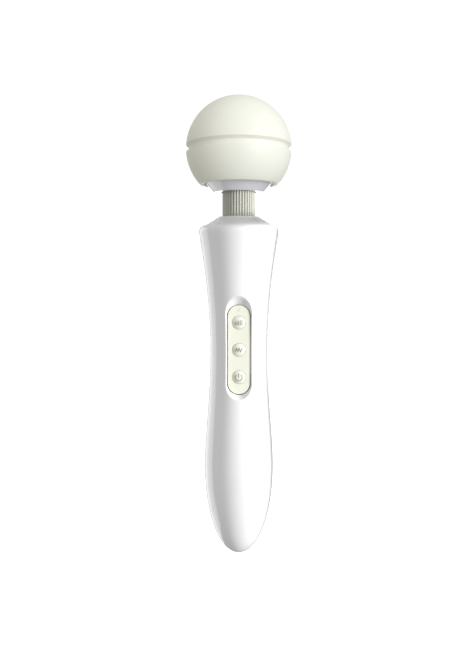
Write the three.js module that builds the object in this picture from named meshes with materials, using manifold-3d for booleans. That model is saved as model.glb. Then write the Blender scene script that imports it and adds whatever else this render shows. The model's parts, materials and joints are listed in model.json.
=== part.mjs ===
// Cordless handheld wand massager, in millimetres.
// Z runs along the wand with the massaging head up, and the button panel faces -Y.
// The origin is on the wand's axis at the waist of the grip, where the hand closes round it.
import * as THREE from "three";
import { mergeVertices } from "three/addons/utils/BufferGeometryUtils.js";
import Module from "manifold-3d";

const wasm = await Module();
wasm.setup();

// ---------------------------------------------------------------- driving dimensions

const GAP = 0.3; // clearance left between pieces that touch or press together
const ROUND = 28; // facets round a large turned piece
const FINE = 16; // facets round a small one
const CASE_WALL = 2.2; // moulded handle and head shells

// Handle outline, as radius and height.
const TIP_Z = -121.3;
const BELLY = { r: 20.75, z: -68.5 };
const WAIST = { r: 17.6, z: 0 };
const SHOULDER = { r: 24.35, z: 72.5 };
const CONE_FOOT = { r: 22.2, z: 77.3 };
const COLLAR = { r: 13.4, z: 82.4 };
const ROOF_THICK = 2.6; // top wall of the handle, with the hole for the neck

// Flexible neck.
const NECK_R = 10;
const NECK_HOLE_R = NECK_R + 0.6;
const NECK_BORE_R = 7.6;
const FLUTES = 36;
const FLUTE_DEPTH = 0.55;
const FLANGE_R = 13.4;
const FLANGE_THICK = 2.3;
const SPRING = { r: 6.6, wire: 0.7, turns: 8 };
const SPIGOT = { outer: 5.4, inner: 3.6, length: 5.5 };

// Head.
const HEAD_Z = 124.1; // centre of the ball
const HEAD_R = 32.2;
const COVER_WALL = 2.05;
const GROOVE = { half: 2.0, depth: 1.5 };
const DISH_Z = 97.5; // underside of the head, where the neck enters it
const DISH = { rim: 14.8, foot: 15.7, top: 20.5 };
const LIP_Z = 103.2; // where the cover hooks under the shell
const LIP_R = 20.9;

// Motor in the head.
const CAN = { r: 12.2, wall: 0.7, low: 111, high: 138 };
const SHAFT = { r: 1.15, low: 109.5, high: 148.3 };
const WEIGHT = { r: 12.4, low: 140.6, high: 147.4 };
const MAGNET = { inner: 8.9, low: 114, high: 134 };
const ARMATURE = { r: 8.3, low: 115.5, high: 132.5, slot: 2.2 };
const CRADLE_Z = 116;
const CRADLE_THICK = 2.4;
const CRADLE_BOLT_R = 20.5; // distance of the cradle screws from the axis
const CRADLE_BOSS_R = 2.8;
const CRADLE_HOLE_R = 1.35;

// Button panel, on the flat bottom of a racetrack recess.
const PANEL = { front: -14.7, thick: 1.6, half: 6.68, low: -22.6, high: 29.8 };
const RECESS = { half: 8.6, low: -26.3, high: 36.1, out: -20 }; // its mouth, clear of the handle's surface
const BUTTON = { r: 3.95, rise: 1.2, flange: 4.9 };
const BUTTON_Z = { intensity: 19.5, mode: 3.5, power: -12.5 };
const LIGHT = { r: 0.8, z: 27 };
const SWITCH_TOP = -9.7;
const BOARD = { front: -6, back: -4.4, half: 9, low: -35.3, high: 44 };
const BOARD_SCREW_Z = [40, -31.6];

// Battery and charging pad.
const CELL = { r: 9.1, low: -102.5, high: -38.9 };
const PAD = { z: -56, face: 18.7, r: 6.5, flange: 8 };
const CONTACT_X = { positive: 3, negative: -3 };
const BATTERY_RIB_Z = [-88, -56];

// Screws that hold the two handle halves together, as x and z.
const CASE_SCREWS = { upper_left: [-11, 60], upper_right: [11, 60], lower: [0, -109.5] };
const COUNTERBORE = { r: 3.1, floor: 4.5 };

// ---------------------------------------------------------------- materials

const finish = (color, roughness, metalness = 0) =>
  new THREE.MeshStandardMaterial({ color, roughness, metalness });

const glossWhite = finish(0xf4f4f3, 0.18);
const innerWhite = finish(0xe9e9e6, 0.45);
const ivorySilicone = finish(0xe9e9da, 0.5);
const ivoryPanel = finish(0xf1f2e4, 0.42);
const steel = finish(0xb9bcc0, 0.32, 1);
const darkSteel = finish(0x6d7074, 0.4, 1);
const copper = finish(0xb8693c, 0.35, 1);
const gold = finish(0xd8b25a, 0.25, 1);
const blackPlastic = finish(0x1d1e20, 0.5);
const boardGreen = finish(0x1f6b3f, 0.45);
const cellWrap = finish(0x2f7fb5, 0.4);
const redWire = finish(0xb3241f, 0.5);
const blackWire = finish(0x222222, 0.5);
const clearLens = finish(0xf3d9c4, 0.15);

// ---------------------------------------------------------------- shape helpers

const at = (r, z) => new THREE.Vector2(r, z);

// A closed geometry as a solid that can be joined and cut.
function solid(geometry) {
  const bare = geometry.clone();
  bare.deleteAttribute("normal");
  bare.deleteAttribute("uv");
  const merged = mergeVertices(bare, 1e-4);
  return new wasm.Manifold(
    new wasm.Mesh({
      numProp: 3,
      vertProperties: merged.attributes.position.array,
      triVerts: new Uint32Array(merged.index.array),
    }),
  );
}

function geometryOf(made) {
  const mesh = made.getMesh();
  const geometry = new THREE.BufferGeometry();
  geometry.setAttribute("position", new THREE.BufferAttribute(mesh.vertProperties, 3));
  geometry.setIndex(new THREE.BufferAttribute(mesh.triVerts, 1));
  geometry.computeVertexNormals();
  return geometry;
}

// A profile of (radius, height) turned about Z. It runs up the outside.
const turned = (profile, facets = ROUND) => new THREE.LatheGeometry(profile, facets).rotateX(Math.PI / 2);

const turnedSolid = (profile, facets) => solid(turned(profile, facets));

// A plain rod or disc about Z, between two heights.
function rod(r, low, high, facets = FINE) {
  const geometry = new THREE.CylinderGeometry(r, r, high - low, facets);
  return geometry.rotateX(Math.PI / 2).translate(0, 0, (low + high) / 2);
}

// The same along Y, through the point (x, z).
function rodAlongY(r, from, to, x, z, facets = FINE) {
  const geometry = new THREE.CylinderGeometry(r, r, to - from, facets);
  return geometry.translate(x, (from + to) / 2, z);
}

// A ring about Z with a square section.
function ring(inner, outer, low, high, facets = FINE) {
  return turned([at(inner, low), at(outer, low), at(outer, high), at(inner, high), at(inner, low)], facets);
}

function block(width, depth, height, x, y, z) {
  return new THREE.BoxGeometry(width, depth, height).translate(x, y, z);
}

// A racetrack outline, half wide at each side, from one height to another.
function racetrack(half, low, high) {
  const shape = new THREE.Shape();
  shape.absarc(0, high - half, half, 0, Math.PI);
  shape.absarc(0, low + half, half, Math.PI, 2 * Math.PI);
  shape.closePath();
  return shape;
}

// A shape drawn in X and Z, pushed along Y from its back to its front.
function slab(shape, back, front, curveSegments = 8) {
  const options = { depth: back - front, bevelEnabled: false, curveSegments };
  return new THREE.ExtrudeGeometry(shape, options).rotateX(Math.PI / 2).translate(0, back, 0);
}

// A tapered plug between two racetracks, a at depth yA and b at depth yB in front of it.
function taperedPlug(a, yA, b, yB, steps = 8) {
  const lower = racetrack(a.half, a.low, a.high).extractPoints(steps).shape;
  const upper = racetrack(b.half, b.low, b.high).extractPoints(steps).shape;
  const count = lower.length;
  const places = [];
  for (const p of lower) places.push(p.x, yA, p.y);
  for (const p of upper) places.push(p.x, yB, p.y);
  const faces = [];
  for (let i = 0; i < count; i++) {
    const j = (i + 1) % count;
    faces.push(i, j, count + j, i, count + j, count + i);
    if (i > 0 && i < count - 1) faces.push(0, i + 1, i, count, count + i, count + i + 1);
  }
  const geometry = new THREE.BufferGeometry();
  geometry.setAttribute("position", new THREE.Float32BufferAttribute(places, 3));
  geometry.setIndex(faces);
  return geometry;
}

// A round wire or lead along a curve.
function wire(curve, r, steps, sides = 6) {
  const section = new THREE.Shape();
  section.absarc(0, 0, r, 0, 2 * Math.PI);
  const options = { steps, extrudePath: curve, bevelEnabled: false, curveSegments: sides };
  return new THREE.ExtrudeGeometry(section, options);
}

function route(points) {
  const places = points.map((p) => new THREE.Vector3(...p));
  return new THREE.CatmullRomCurve3(places, false, "centripetal");
}

// ---------------------------------------------------------------- the assembly

const wand = new THREE.Group();
const handle = new THREE.Group();
const neck = new THREE.Group();
const head = new THREE.Group();
const rotor = new THREE.Group();
wand.add(handle, neck, head, rotor);

function put(group, name, geometry, material) {
  const mesh = new THREE.Mesh(geometry, material);
  mesh.name = name;
  group.add(mesh);
}

// ---------------------------------------------------------------- handle shells

const belly = at(BELLY.r, BELLY.z);
const waist = at(WAIST.r, WAIST.z);
const shoulder = at(SHOULDER.r, SHOULDER.z);
const HANDLE_CURVES = [
  new THREE.CubicBezierCurve(at(0, TIP_Z), at(12.5, TIP_Z), at(BELLY.r, -96.5), belly),
  new THREE.CubicBezierCurve(belly, at(BELLY.r, -50), at(WAIST.r, -32), waist),
  new THREE.CubicBezierCurve(waist, at(WAIST.r, 26), at(20.27, 48.5), shoulder),
  new THREE.QuadraticBezierCurve(shoulder, at(24.88, 75.75), at(CONE_FOOT.r, CONE_FOOT.z)),
];
const OUTER_STEPS = [7, 4, 5, 2];
const INNER_STEPS = [6, 3, 3, 2];

// The handle's outline from the tip to the foot of the cone, moved inwards by inset.
function handleOutline(inset, steps) {
  const points = [];
  HANDLE_CURVES.forEach((curve, i) => {
    for (let k = i ? 1 : 0; k <= steps[i]; k++) {
      const t = k / steps[i];
      const along = curve.getTangent(t);
      const p = curve.getPoint(t);
      points.push(at(Math.max(0, p.x - inset * along.y), p.y + inset * along.x));
    }
  });
  return points;
}

const handleBody = turnedSolid([...handleOutline(0, OUTER_STEPS), at(COLLAR.r, COLLAR.z), at(0, COLLAR.z)]);
const roofZ = COLLAR.z - ROOF_THICK;
const handleCavity = turnedSolid([
  ...handleOutline(CASE_WALL, INNER_STEPS), at(COLLAR.r, roofZ), at(0, roofZ),
]);
const neckHole = solid(rod(NECK_HOLE_R, roofZ - 1, COLLAR.z + 1, ROUND));
const ribBelowNeck = turnedSolid([at(12, 70.2), at(26, 70.2), at(26, 72.8), at(12, 72.8), at(12, 70.2)]);

// The recess at the panel: a racetrack a little wider than the panel all round.
const recessFloor = { half: PANEL.half + 0.45, low: PANEL.low - 0.45, high: PANEL.high + 0.45 };
const grown = (track, by) => ({ half: track.half + by, low: track.low - by, high: track.high + by });

const SEAT_Y = PANEL.front + PANEL.thick + GAP;
const WELL_BACK = SEAT_Y + 1.4;
const frontSide = solid(block(80, 40, 260, 0, -20 - GAP / 2, 0));
const rearSide = solid(block(80, 40, 260, 0, 20 + GAP / 2, 0));

function handleShellFront() {
  const well = solid(taperedPlug(grown(recessFloor, 2), WELL_BACK, grown(RECESS, 2.5), RECESS.out - 2));
  const recess = solid(taperedPlug(recessFloor, PANEL.front, RECESS, RECESS.out));
  const seat = grown(PANEL, GAP);
  const seatCut = solid(slab(racetrack(seat.half, seat.low, seat.high), SEAT_Y, PANEL.front - 0.05));
  const window = grown(PANEL, -0.9);
  const windowShape = racetrack(window.half, window.low, window.high);
  const windowCut = solid(slab(windowShape, WELL_BACK + 1, SEAT_Y - 0.5));
  let inside = well.add(ribBelowNeck);
  for (const z of BOARD_SCREW_Z) inside = inside.add(solid(rodAlongY(2.6, -30, BOARD.front - GAP, 0, z)));
  for (const [x, z] of Object.values(CASE_SCREWS)) inside = inside.add(solid(rodAlongY(3, -30, -1, x, z)));
  for (const z of BATTERY_RIB_Z) inside = inside.add(cradleRib(z));
  let shell = handleBody.subtract(handleCavity).add(inside.intersect(handleBody));
  for (const z of BOARD_SCREW_Z) shell = shell.subtract(solid(rodAlongY(1.1, -12.5, 0, 0, z)));
  for (const [x, z] of Object.values(CASE_SCREWS)) {
    shell = shell.subtract(solid(rodAlongY(1.35, -10, 0, x, z)));
  }
  shell = shell.subtract(neckHole).subtract(recess).subtract(seatCut).subtract(windowCut);
  return geometryOf(shell.intersect(frontSide));
}

// A crescent rib across the front shell that carries the battery cradle.
function cradleRib(z) {
  const outer = 26;
  const crescent = turnedSolid([
    at(CELL.r + 2, z - 1), at(outer, z - 1), at(outer, z + 1), at(CELL.r + 2, z + 1), at(CELL.r + 2, z - 1),
  ]);
  return crescent.subtract(solid(block(80, 60, 10, 0, 24, z)));
}

function handleShellRear() {
  let inside = ribBelowNeck;
  for (const [x, z] of Object.values(CASE_SCREWS)) inside = inside.add(solid(rodAlongY(4.4, 1, 30, x, z)));
  let shell = handleBody.subtract(handleCavity).add(inside.intersect(handleBody)).subtract(neckHole);
  for (const [x, z] of Object.values(CASE_SCREWS)) {
    shell = shell.subtract(solid(rodAlongY(COUNTERBORE.r, COUNTERBORE.floor, 30, x, z)));
    shell = shell.subtract(solid(rodAlongY(1.5, 0, 10, x, z)));
  }
  shell = shell.subtract(solid(rodAlongY(PAD.r + GAP, 12, 30, 0, PAD.z, 24)));
  return geometryOf(shell.intersect(rearSide));
}

// A plug that closes a screw hole, its face flush with the handle.
function screwPlug(x, z) {
  const plug = solid(rodAlongY(COUNTERBORE.r - GAP, 8, 30, x, z));
  return geometryOf(plug.intersect(handleBody));
}

// A pan-head screw along Y, its head towards +Y.
function screwAlongY(headR, shankR, under, headThick, tip, x, z) {
  const shank = solid(rodAlongY(shankR, tip, under + 0.2, x, z, 10));
  return geometryOf(solid(rodAlongY(headR, under, under + headThick, x, z, 12)).add(shank));
}

put(handle, "handle_shell_front", handleShellFront(), glossWhite);
put(handle, "handle_shell_rear", handleShellRear(), glossWhite);
for (const [place, [x, z]] of Object.entries(CASE_SCREWS)) {
  const under = COUNTERBORE.floor + GAP;
  put(handle, `case_screw_${place}`, screwAlongY(2.6, 1, under, 1.7, -8.5, x, z), steel);
  put(handle, `screw_plug_${place}`, screwPlug(x, z), glossWhite);
}

// ---------------------------------------------------------------- neck

const NECK_LOW = roofZ - GAP - FLANGE_THICK; // underside of the lower flange
const NECK_HIGH = DISH_Z + CASE_WALL + GAP + FLANGE_THICK; // top of the upper flange

// The sleeve's fluted cross-section.
function fluted() {
  const shape = new THREE.Shape();
  for (let i = 0; i < 2 * FLUTES; i++) {
    const r = i % 2 ? NECK_R - FLUTE_DEPTH : NECK_R;
    const angle = (i * Math.PI) / FLUTES;
    shape[i ? "lineTo" : "moveTo"](r * Math.cos(angle), r * Math.sin(angle));
  }
  shape.closePath();
  return shape;
}

function neckSleeve() {
  const length = NECK_HIGH - NECK_LOW - 1;
  const tube = new THREE.ExtrudeGeometry(fluted(), { depth: length, bevelEnabled: false });
  const flange = (low) => solid(rod(FLANGE_R, low, low + FLANGE_THICK, ROUND));
  const bore = solid(rod(NECK_BORE_R, NECK_LOW - 1, NECK_HIGH + 1, 24));
  const body = solid(tube.translate(0, 0, NECK_LOW + 0.5));
  return geometryOf(body.add(flange(NECK_LOW)).add(flange(NECK_HIGH - FLANGE_THICK)).subtract(bore));
}

class Helix extends THREE.Curve {
  constructor(r, low, high, turns) {
    super();
    Object.assign(this, { r, low, high, turns });
  }
  getPoint(t, point = new THREE.Vector3()) {
    const angle = 2 * Math.PI * this.turns * t;
    const z = this.low + (this.high - this.low) * t;
    return point.set(this.r * Math.cos(angle), this.r * Math.sin(angle), z);
  }
}

function neckSpring() {
  const margin = SPRING.wire + GAP;
  const coil = new Helix(SPRING.r, NECK_LOW + margin, NECK_HIGH - margin, SPRING.turns);
  return wire(coil, SPRING.wire, SPRING.turns * 10, 3);
}

// A collar that clamps one flange of the sleeve, with a spigot inside the spring.
// way is +1 for a spigot that points up.
function neckClamp(face, way) {
  const thick = 2.4;
  const back = face - way * thick;
  const disc = solid(rod(FLANGE_R, Math.min(face, back), Math.max(face, back), 24));
  const tip = face + way * SPIGOT.length;
  const spigot = solid(rod(SPIGOT.outer, Math.min(face - way, tip), Math.max(face - way, tip), FINE));
  const bore = solid(rod(SPIGOT.inner, face - 12, face + 12, FINE));
  return geometryOf(disc.add(spigot).subtract(bore));
}

put(handle, "neck_clamp_lower", neckClamp(NECK_LOW - GAP, 1), innerWhite);
put(neck, "neck_sleeve", neckSleeve(), ivorySilicone);
put(neck, "neck_spring", neckSpring(), steel);
put(head, "neck_clamp_upper", neckClamp(NECK_HIGH + GAP, -1), innerWhite);

// ---------------------------------------------------------------- head shells and cover

// Points of a circle about the head's centre, between two heights, with its outer side on the right.
function ball(r, from, to, steps) {
  const angle = (z) => Math.asin(Math.max(-1, Math.min(1, (z - HEAD_Z) / r)));
  const points = [];
  for (let k = 0; k <= steps; k++) {
    const a = angle(from) + ((angle(to) - angle(from)) * k) / steps;
    points.push(at(Math.max(0, r * Math.cos(a)), HEAD_Z + r * Math.sin(a)));
  }
  return points;
}

const SHELL_R = HEAD_R - COVER_WALL - 0.45;
const SHELL_IN = SHELL_R - CASE_WALL;

function headCover() {
  const inner = HEAD_R - COVER_WALL;
  const lip = [at(LIP_R, LIP_Z), at(LIP_R, LIP_Z - 0.8), at(23.4, LIP_Z - 0.8)];
  const groove = [
    at(HEAD_R - GROOVE.depth, HEAD_Z - GROOVE.half + 1.1),
    at(HEAD_R - GROOVE.depth, HEAD_Z + GROOVE.half - 0.7),
  ];
  return turned([
    ...lip,
    ...ball(HEAD_R, 103.4, HEAD_Z - GROOVE.half, 5),
    ...groove,
    ...ball(HEAD_R, HEAD_Z + GROOVE.half, HEAD_Z + HEAD_R, 8),
    ...ball(inner, LIP_Z, HEAD_Z + inner, 10).reverse(),
    at(LIP_R, LIP_Z),
  ]);
}

const RIM_Z = HEAD_Z - GAP / 2; // where the two head shells meet

function headShellLower() {
  const under = LIP_Z + GAP;
  let shell = turnedSolid([
    at(NECK_HOLE_R, DISH_Z), at(DISH.rim, DISH_Z), at(DISH.foot, DISH_Z + 0.7), at(DISH.top, under),
    ...ball(SHELL_R, under, RIM_Z, 4),
    ...ball(SHELL_IN, 105.6, RIM_Z, 3).reverse(),
    at(DISH.top - 2, under + 1), at(DISH.foot - 1.5, DISH_Z + CASE_WALL), at(NECK_HOLE_R, DISH_Z + CASE_WALL),
    at(NECK_HOLE_R, DISH_Z),
  ]);
  const within = turnedSolid([...ball(SHELL_IN + 1, HEAD_Z - SHELL_IN - 1, RIM_Z, 8), at(0, RIM_Z)]);
  for (const [x, y] of cradleBolts()) {
    const boss = solid(rod(CRADLE_BOSS_R, 100, CRADLE_Z - GAP, 12).translate(x, y, 0)).intersect(within);
    shell = shell.add(boss).subtract(solid(rod(CRADLE_HOLE_R, 107, CRADLE_Z + 1, 10).translate(x, y, 0)));
  }
  return geometryOf(shell);
}

function cradleBolts() {
  const places = [];
  for (let i = 0; i < 3; i++) {
    const angle = Math.PI / 2 + (i * 2 * Math.PI) / 3;
    places.push([CRADLE_BOLT_R * Math.cos(angle), CRADLE_BOLT_R * Math.sin(angle)]);
  }
  return places;
}

function headShellUpper() {
  const seat = RIM_Z + GAP;
  const lipOut = Math.sqrt(SHELL_IN ** 2 - 9) - GAP;
  const lipIn = lipOut - 1.5;
  return turned([
    at(lipIn, seat - 3), at(lipOut, seat - 3), at(lipOut, seat),
    ...ball(SHELL_R, seat, HEAD_Z + SHELL_R, 6),
    ...ball(SHELL_IN, seat + 3, HEAD_Z + SHELL_IN, 5).reverse(),
    at(lipIn, seat + 1.5), at(lipIn, seat - 3),
  ]);
}

put(head, "head_cover", headCover(), ivorySilicone);
put(head, "head_shell_lower", headShellLower(), glossWhite);
put(head, "head_shell_upper", headShellUpper(), innerWhite);

// ---------------------------------------------------------------- motor

function motorCan() {
  const inner = CAN.r - CAN.wall;
  return turned([
    at(inner, CAN.low), at(CAN.r, CAN.low), at(CAN.r, CAN.high - 1), at(CAN.r - 1, CAN.high),
    at(3.6, CAN.high),
    at(3.6, CAN.high - 1), at(inner, CAN.high - 1), at(inner, CAN.low),
  ], 24);
}

// A third of a ring of magnet, centred on the +X or -X side.
function magnet(side) {
  const outer = CAN.r - CAN.wall - GAP;
  const half = Math.PI / 3;
  const middle = side > 0 ? 0 : Math.PI;
  const shape = new THREE.Shape();
  shape.absarc(0, 0, outer, middle - half, middle + half);
  shape.absarc(0, 0, MAGNET.inner, middle + half, middle - half, true);
  shape.closePath();
  const options = { depth: MAGNET.high - MAGNET.low, bevelEnabled: false, curveSegments: 8 };
  return new THREE.ExtrudeGeometry(shape, options).translate(0, 0, MAGNET.low);
}

function motorCradle() {
  const top = CRADLE_Z + CRADLE_THICK;
  let cradle = solid(rod(CAN.r + 2.1, CRADLE_Z, CRADLE_Z + 8, 24));
  for (const [x, y] of cradleBolts()) {
    const arm = block(CRADLE_BOLT_R, 5, CRADLE_THICK, CRADLE_BOLT_R / 2, 0, (CRADLE_Z + top) / 2);
    arm.rotateZ(Math.atan2(y, x));
    cradle = cradle.add(solid(arm)).add(solid(rod(CRADLE_BOSS_R, CRADLE_Z, top, 12).translate(x, y, 0)));
    cradle = cradle.subtract(solid(rod(CRADLE_HOLE_R, CRADLE_Z - 1, top + 1, 10).translate(x, y, 0)));
  }
  return geometryOf(cradle.subtract(solid(rod(CAN.r + GAP, CRADLE_Z - 1, CRADLE_Z + 9, 24))));
}

function cradleScrew(x, y) {
  const under = CRADLE_Z + CRADLE_THICK + GAP;
  const screw = solid(rod(2.3, under, under + 1.6, 12)).add(solid(rod(1, 108.5, under + 0.2, 10)));
  return geometryOf(screw).translate(x, y, 0);
}

function motorEndCap() {
  const cap = solid(rod(CAN.r - 0.6, CAN.low - 2.6, CAN.low - GAP, 24));
  const holder = solid(rod(6.4, CAN.low - 1, CAN.low + 2.4, 20));
  const cup = solid(rod(5.2, CAN.low + 0.1, CAN.low + 3, 20));
  const bearing = solid(rod(SHAFT.r + GAP, SHAFT.low - GAP, CAN.low + 1, 12));
  return geometryOf(cap.add(holder).subtract(cup).subtract(bearing));
}

put(head, "motor_can", motorCan(), steel);
put(head, "motor_end_cap", motorEndCap(), blackPlastic);
put(head, "motor_bush", ring(SHAFT.r + GAP, 3.3, CAN.high - 2.6, CAN.high + 1.6), gold);
put(head, "motor_magnet_left", magnet(-1), darkSteel);
put(head, "motor_magnet_right", magnet(1), darkSteel);
put(head, "motor_cradle", motorCradle(), innerWhite);
cradleBolts().forEach(([x, y], i) => put(head, `cradle_screw_${i + 1}`, cradleScrew(x, y), steel));

// ---------------------------------------------------------------- rotor

// An armature with three poles, as a disc with a slot between each two.
function armature() {
  let core = solid(rod(ARMATURE.r, ARMATURE.low, ARMATURE.high, 24));
  for (let i = 0; i < 3; i++) {
    const slot = block(6, ARMATURE.slot, 30, ARMATURE.r - 1.7, 0, HEAD_Z);
    slot.rotateZ((i * 2 * Math.PI) / 3);
    core = core.subtract(solid(slot));
  }
  return geometryOf(core.subtract(solid(rod(SHAFT.r + GAP, 110, 140, 12))));
}

// A half disc with a hub round the shaft.
function eccentricWeight() {
  const shape = new THREE.Shape();
  shape.absarc(0, 0, WEIGHT.r, Math.PI, 2 * Math.PI);
  shape.absarc(0, 0, 3.6, 0, Math.PI);
  shape.closePath();
  const options = { depth: WEIGHT.high - WEIGHT.low, bevelEnabled: false, curveSegments: 12 };
  const mass = solid(new THREE.ExtrudeGeometry(shape, options).translate(0, 0, WEIGHT.low));
  return geometryOf(mass.subtract(solid(rod(SHAFT.r + GAP, WEIGHT.low - 1, WEIGHT.high + 1, 12))));
}

put(rotor, "motor_shaft", rod(SHAFT.r, SHAFT.low, SHAFT.high, 12), steel);
put(rotor, "armature", armature(), copper);
put(rotor, "commutator", ring(SHAFT.r + GAP, 3.2, 111.9, 114.9, 12), gold);
put(rotor, "eccentric_weight", eccentricWeight(), darkSteel);

// ---------------------------------------------------------------- button panel, buttons and board

function buttonPanel() {
  const plate = racetrack(PANEL.half, PANEL.low, PANEL.high);
  for (const z of Object.values(BUTTON_Z)) {
    const hole = new THREE.Path();
    hole.absarc(0, z, BUTTON.r + GAP, 0, 2 * Math.PI, true);
    plate.holes.push(hole);
  }
  const lens = new THREE.Path();
  lens.absarc(0, LIGHT.z, LIGHT.r + GAP, 0, 2 * Math.PI, true);
  plate.holes.push(lens);
  return slab(plate, PANEL.front + PANEL.thick, PANEL.front, 8);
}

// A domed cap with a flange behind the panel and a stem on the switch, turned about Y.
function buttonCap(z) {
  const back = PANEL.front + PANEL.thick + GAP;
  const crown = PANEL.front - BUTTON.rise;
  const dome = [at(0, crown), at(1.8, crown + 0.18), at(3, crown + 0.58), at(BUTTON.r, PANEL.front - 0.1)];
  const flange = [at(BUTTON.r, back), at(BUTTON.flange, back), at(BUTTON.flange, back + 0.7)];
  const stem = [at(1.7, back + 0.7), at(1.7, SWITCH_TOP - 0.9), at(0, SWITCH_TOP - 0.9)];
  const profile = [...dome, ...flange, ...stem];
  return new THREE.LatheGeometry(profile, FINE).translate(0, 0, z);
}

function switchBase(z) {
  const depth = BOARD.front - GAP - SWITCH_TOP;
  const body = solid(block(6, depth, 6, 0, SWITCH_TOP + depth / 2, z));
  return geometryOf(body.subtract(solid(rodAlongY(1.9, SWITCH_TOP - 1, SWITCH_TOP + 2.2, 0, z, 12))));
}

function circuitBoard() {
  const { half, low, high } = BOARD;
  const corner = 2;
  const shape = new THREE.Shape();
  shape.moveTo(-half, low + corner);
  shape.lineTo(corner - half, low);
  shape.lineTo(half - corner, low);
  shape.lineTo(half, low + corner);
  shape.lineTo(half, high - corner);
  shape.lineTo(half - corner, high);
  shape.lineTo(corner - half, high);
  shape.lineTo(-half, high - corner);
  shape.closePath();
  let board = solid(slab(shape, BOARD.back, BOARD.front));
  for (const z of BOARD_SCREW_Z) board = board.subtract(solid(rodAlongY(1.2, -8, -2, 0, z, 10)));
  return geometryOf(board);
}

put(handle, "button_panel", buttonPanel(), ivoryPanel);
put(handle, "led_light_pipe", rodAlongY(LIGHT.r, PANEL.front + 0.05, -8.2, 0, LIGHT.z, 12), clearLens);
put(handle, "status_led", block(2, 1.3, 2, 0, -7.2, LIGHT.z), clearLens);
put(handle, "circuit_board", circuitBoard(), boardGreen);
BOARD_SCREW_Z.forEach((z, i) => {
  const under = BOARD.back + GAP;
  put(handle, `board_screw_${i + 1}`, screwAlongY(2, 0.8, under, 1.3, -11.5, 0, z), steel);
});
for (const [name, z] of Object.entries(BUTTON_Z)) {
  const key = new THREE.Group();
  wand.add(key);
  put(key, `${name}_button`, buttonCap(z), ivoryPanel);
  put(key, `${name}_plunger`, rodAlongY(1.6, SWITCH_TOP - 0.6, SWITCH_TOP + 1.2, 0, z, 12), blackPlastic);
  put(handle, `${name}_switch`, switchBase(z), blackPlastic);
}

const PARTS_Y = BOARD.back + GAP; // underside of what is soldered to the back of the board
put(handle, "control_chip", block(8, 1.4, 8, 0, PARTS_Y + 0.7, 4), blackPlastic);
put(handle, "motor_connector", block(7, 4, 5, 0, PARTS_Y + 2, 32.5), innerWhite);
put(handle, "battery_connector", block(7, 4, 5, 0, PARTS_Y + 2, -24.5), innerWhite);

// ---------------------------------------------------------------- battery and charging pad

function batteryCell() {
  const can = [at(0, CELL.low), at(CELL.r, CELL.low), at(CELL.r, CELL.high), at(3, CELL.high)];
  return turned([...can, at(3, CELL.high + 1), at(0, CELL.high + 1)], 24);
}

// A trough under the cell, on the front side, with a wall at each end.
function batteryCradle() {
  const inner = CELL.r + GAP;
  const outer = CELL.r + 1.7;
  const middle = -Math.PI / 2;
  const half = 1.2;
  const shape = new THREE.Shape();
  shape.absarc(0, 0, outer, middle - half, middle + half);
  shape.absarc(0, 0, inner, middle + half, middle - half, true);
  shape.closePath();
  const depth = CELL.high - CELL.low + 2;
  const options = { depth, bevelEnabled: false, curveSegments: 10 };
  const trough = solid(new THREE.ExtrudeGeometry(shape, options).translate(0, 0, CELL.low - 1));
  const cutBack = (z) => solid(block(40, 40, 4, 0, 20 - 6.4, z));
  const wall = (z) => solid(rod(outer, z - 0.6, z + 0.6, 24)).subtract(cutBack(z));
  return geometryOf(trough.add(wall(CELL.low - 1.4)).add(wall(CELL.high + 1.4)));
}

function chargePad() {
  let pad = solid(rodAlongY(PAD.r, 14, PAD.face, 0, PAD.z, 24));
  pad = pad.add(solid(rodAlongY(PAD.flange, 13.6, 15, 0, PAD.z, 24)));
  for (const x of Object.values(CONTACT_X)) pad = pad.subtract(solid(rodAlongY(1.5, 10, 30, x, PAD.z, 12)));
  return geometryOf(pad);
}

put(handle, "battery_cell", batteryCell(), cellWrap);
put(handle, "battery_cradle", batteryCradle(), innerWhite);
put(handle, "battery_tab_positive", block(4, 9, 0.3, 0, 1.5, CELL.high + 1.6), steel);
put(handle, "battery_tab_negative", block(4, 9, 0.3, 0, 1.5, CELL.low - 0.6), steel);
put(handle, "charge_pad", chargePad(), innerWhite);
for (const [pole, x] of Object.entries(CONTACT_X)) {
  put(handle, `charge_contact_${pole}`, rodAlongY(1.2, 12.2, PAD.face - GAP, x, PAD.z, 12), gold);
}
put(handle, "charge_magnet", block(3, 1.2, 8, 0, 12.7, PAD.z), darkSteel);

// ---------------------------------------------------------------- leads

const LEAD_R = 0.65;
const lead = (points, steps) => wire(route(points), LEAD_R, steps, 3);

// From the board's connector, through the neck, to a motor terminal. side is +1 for the positive lead.
function motorLead(side) {
  const y = PARTS_Y + 2;
  return lead([
    [side * 2, y, 35.6], [side * 2.2, y + 0.9, 39], [side * 2, -0.6, 46], [side * 1.9, 0, 60],
    [side * 1.9, 0, 74], [side * 1.9, 0, 90], [side * 1.9, 0, 104.4], [side * 2.6, 0, 106.1],
    [side * 4.8, 0, 107.1],
  ], 18);
}

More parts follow.
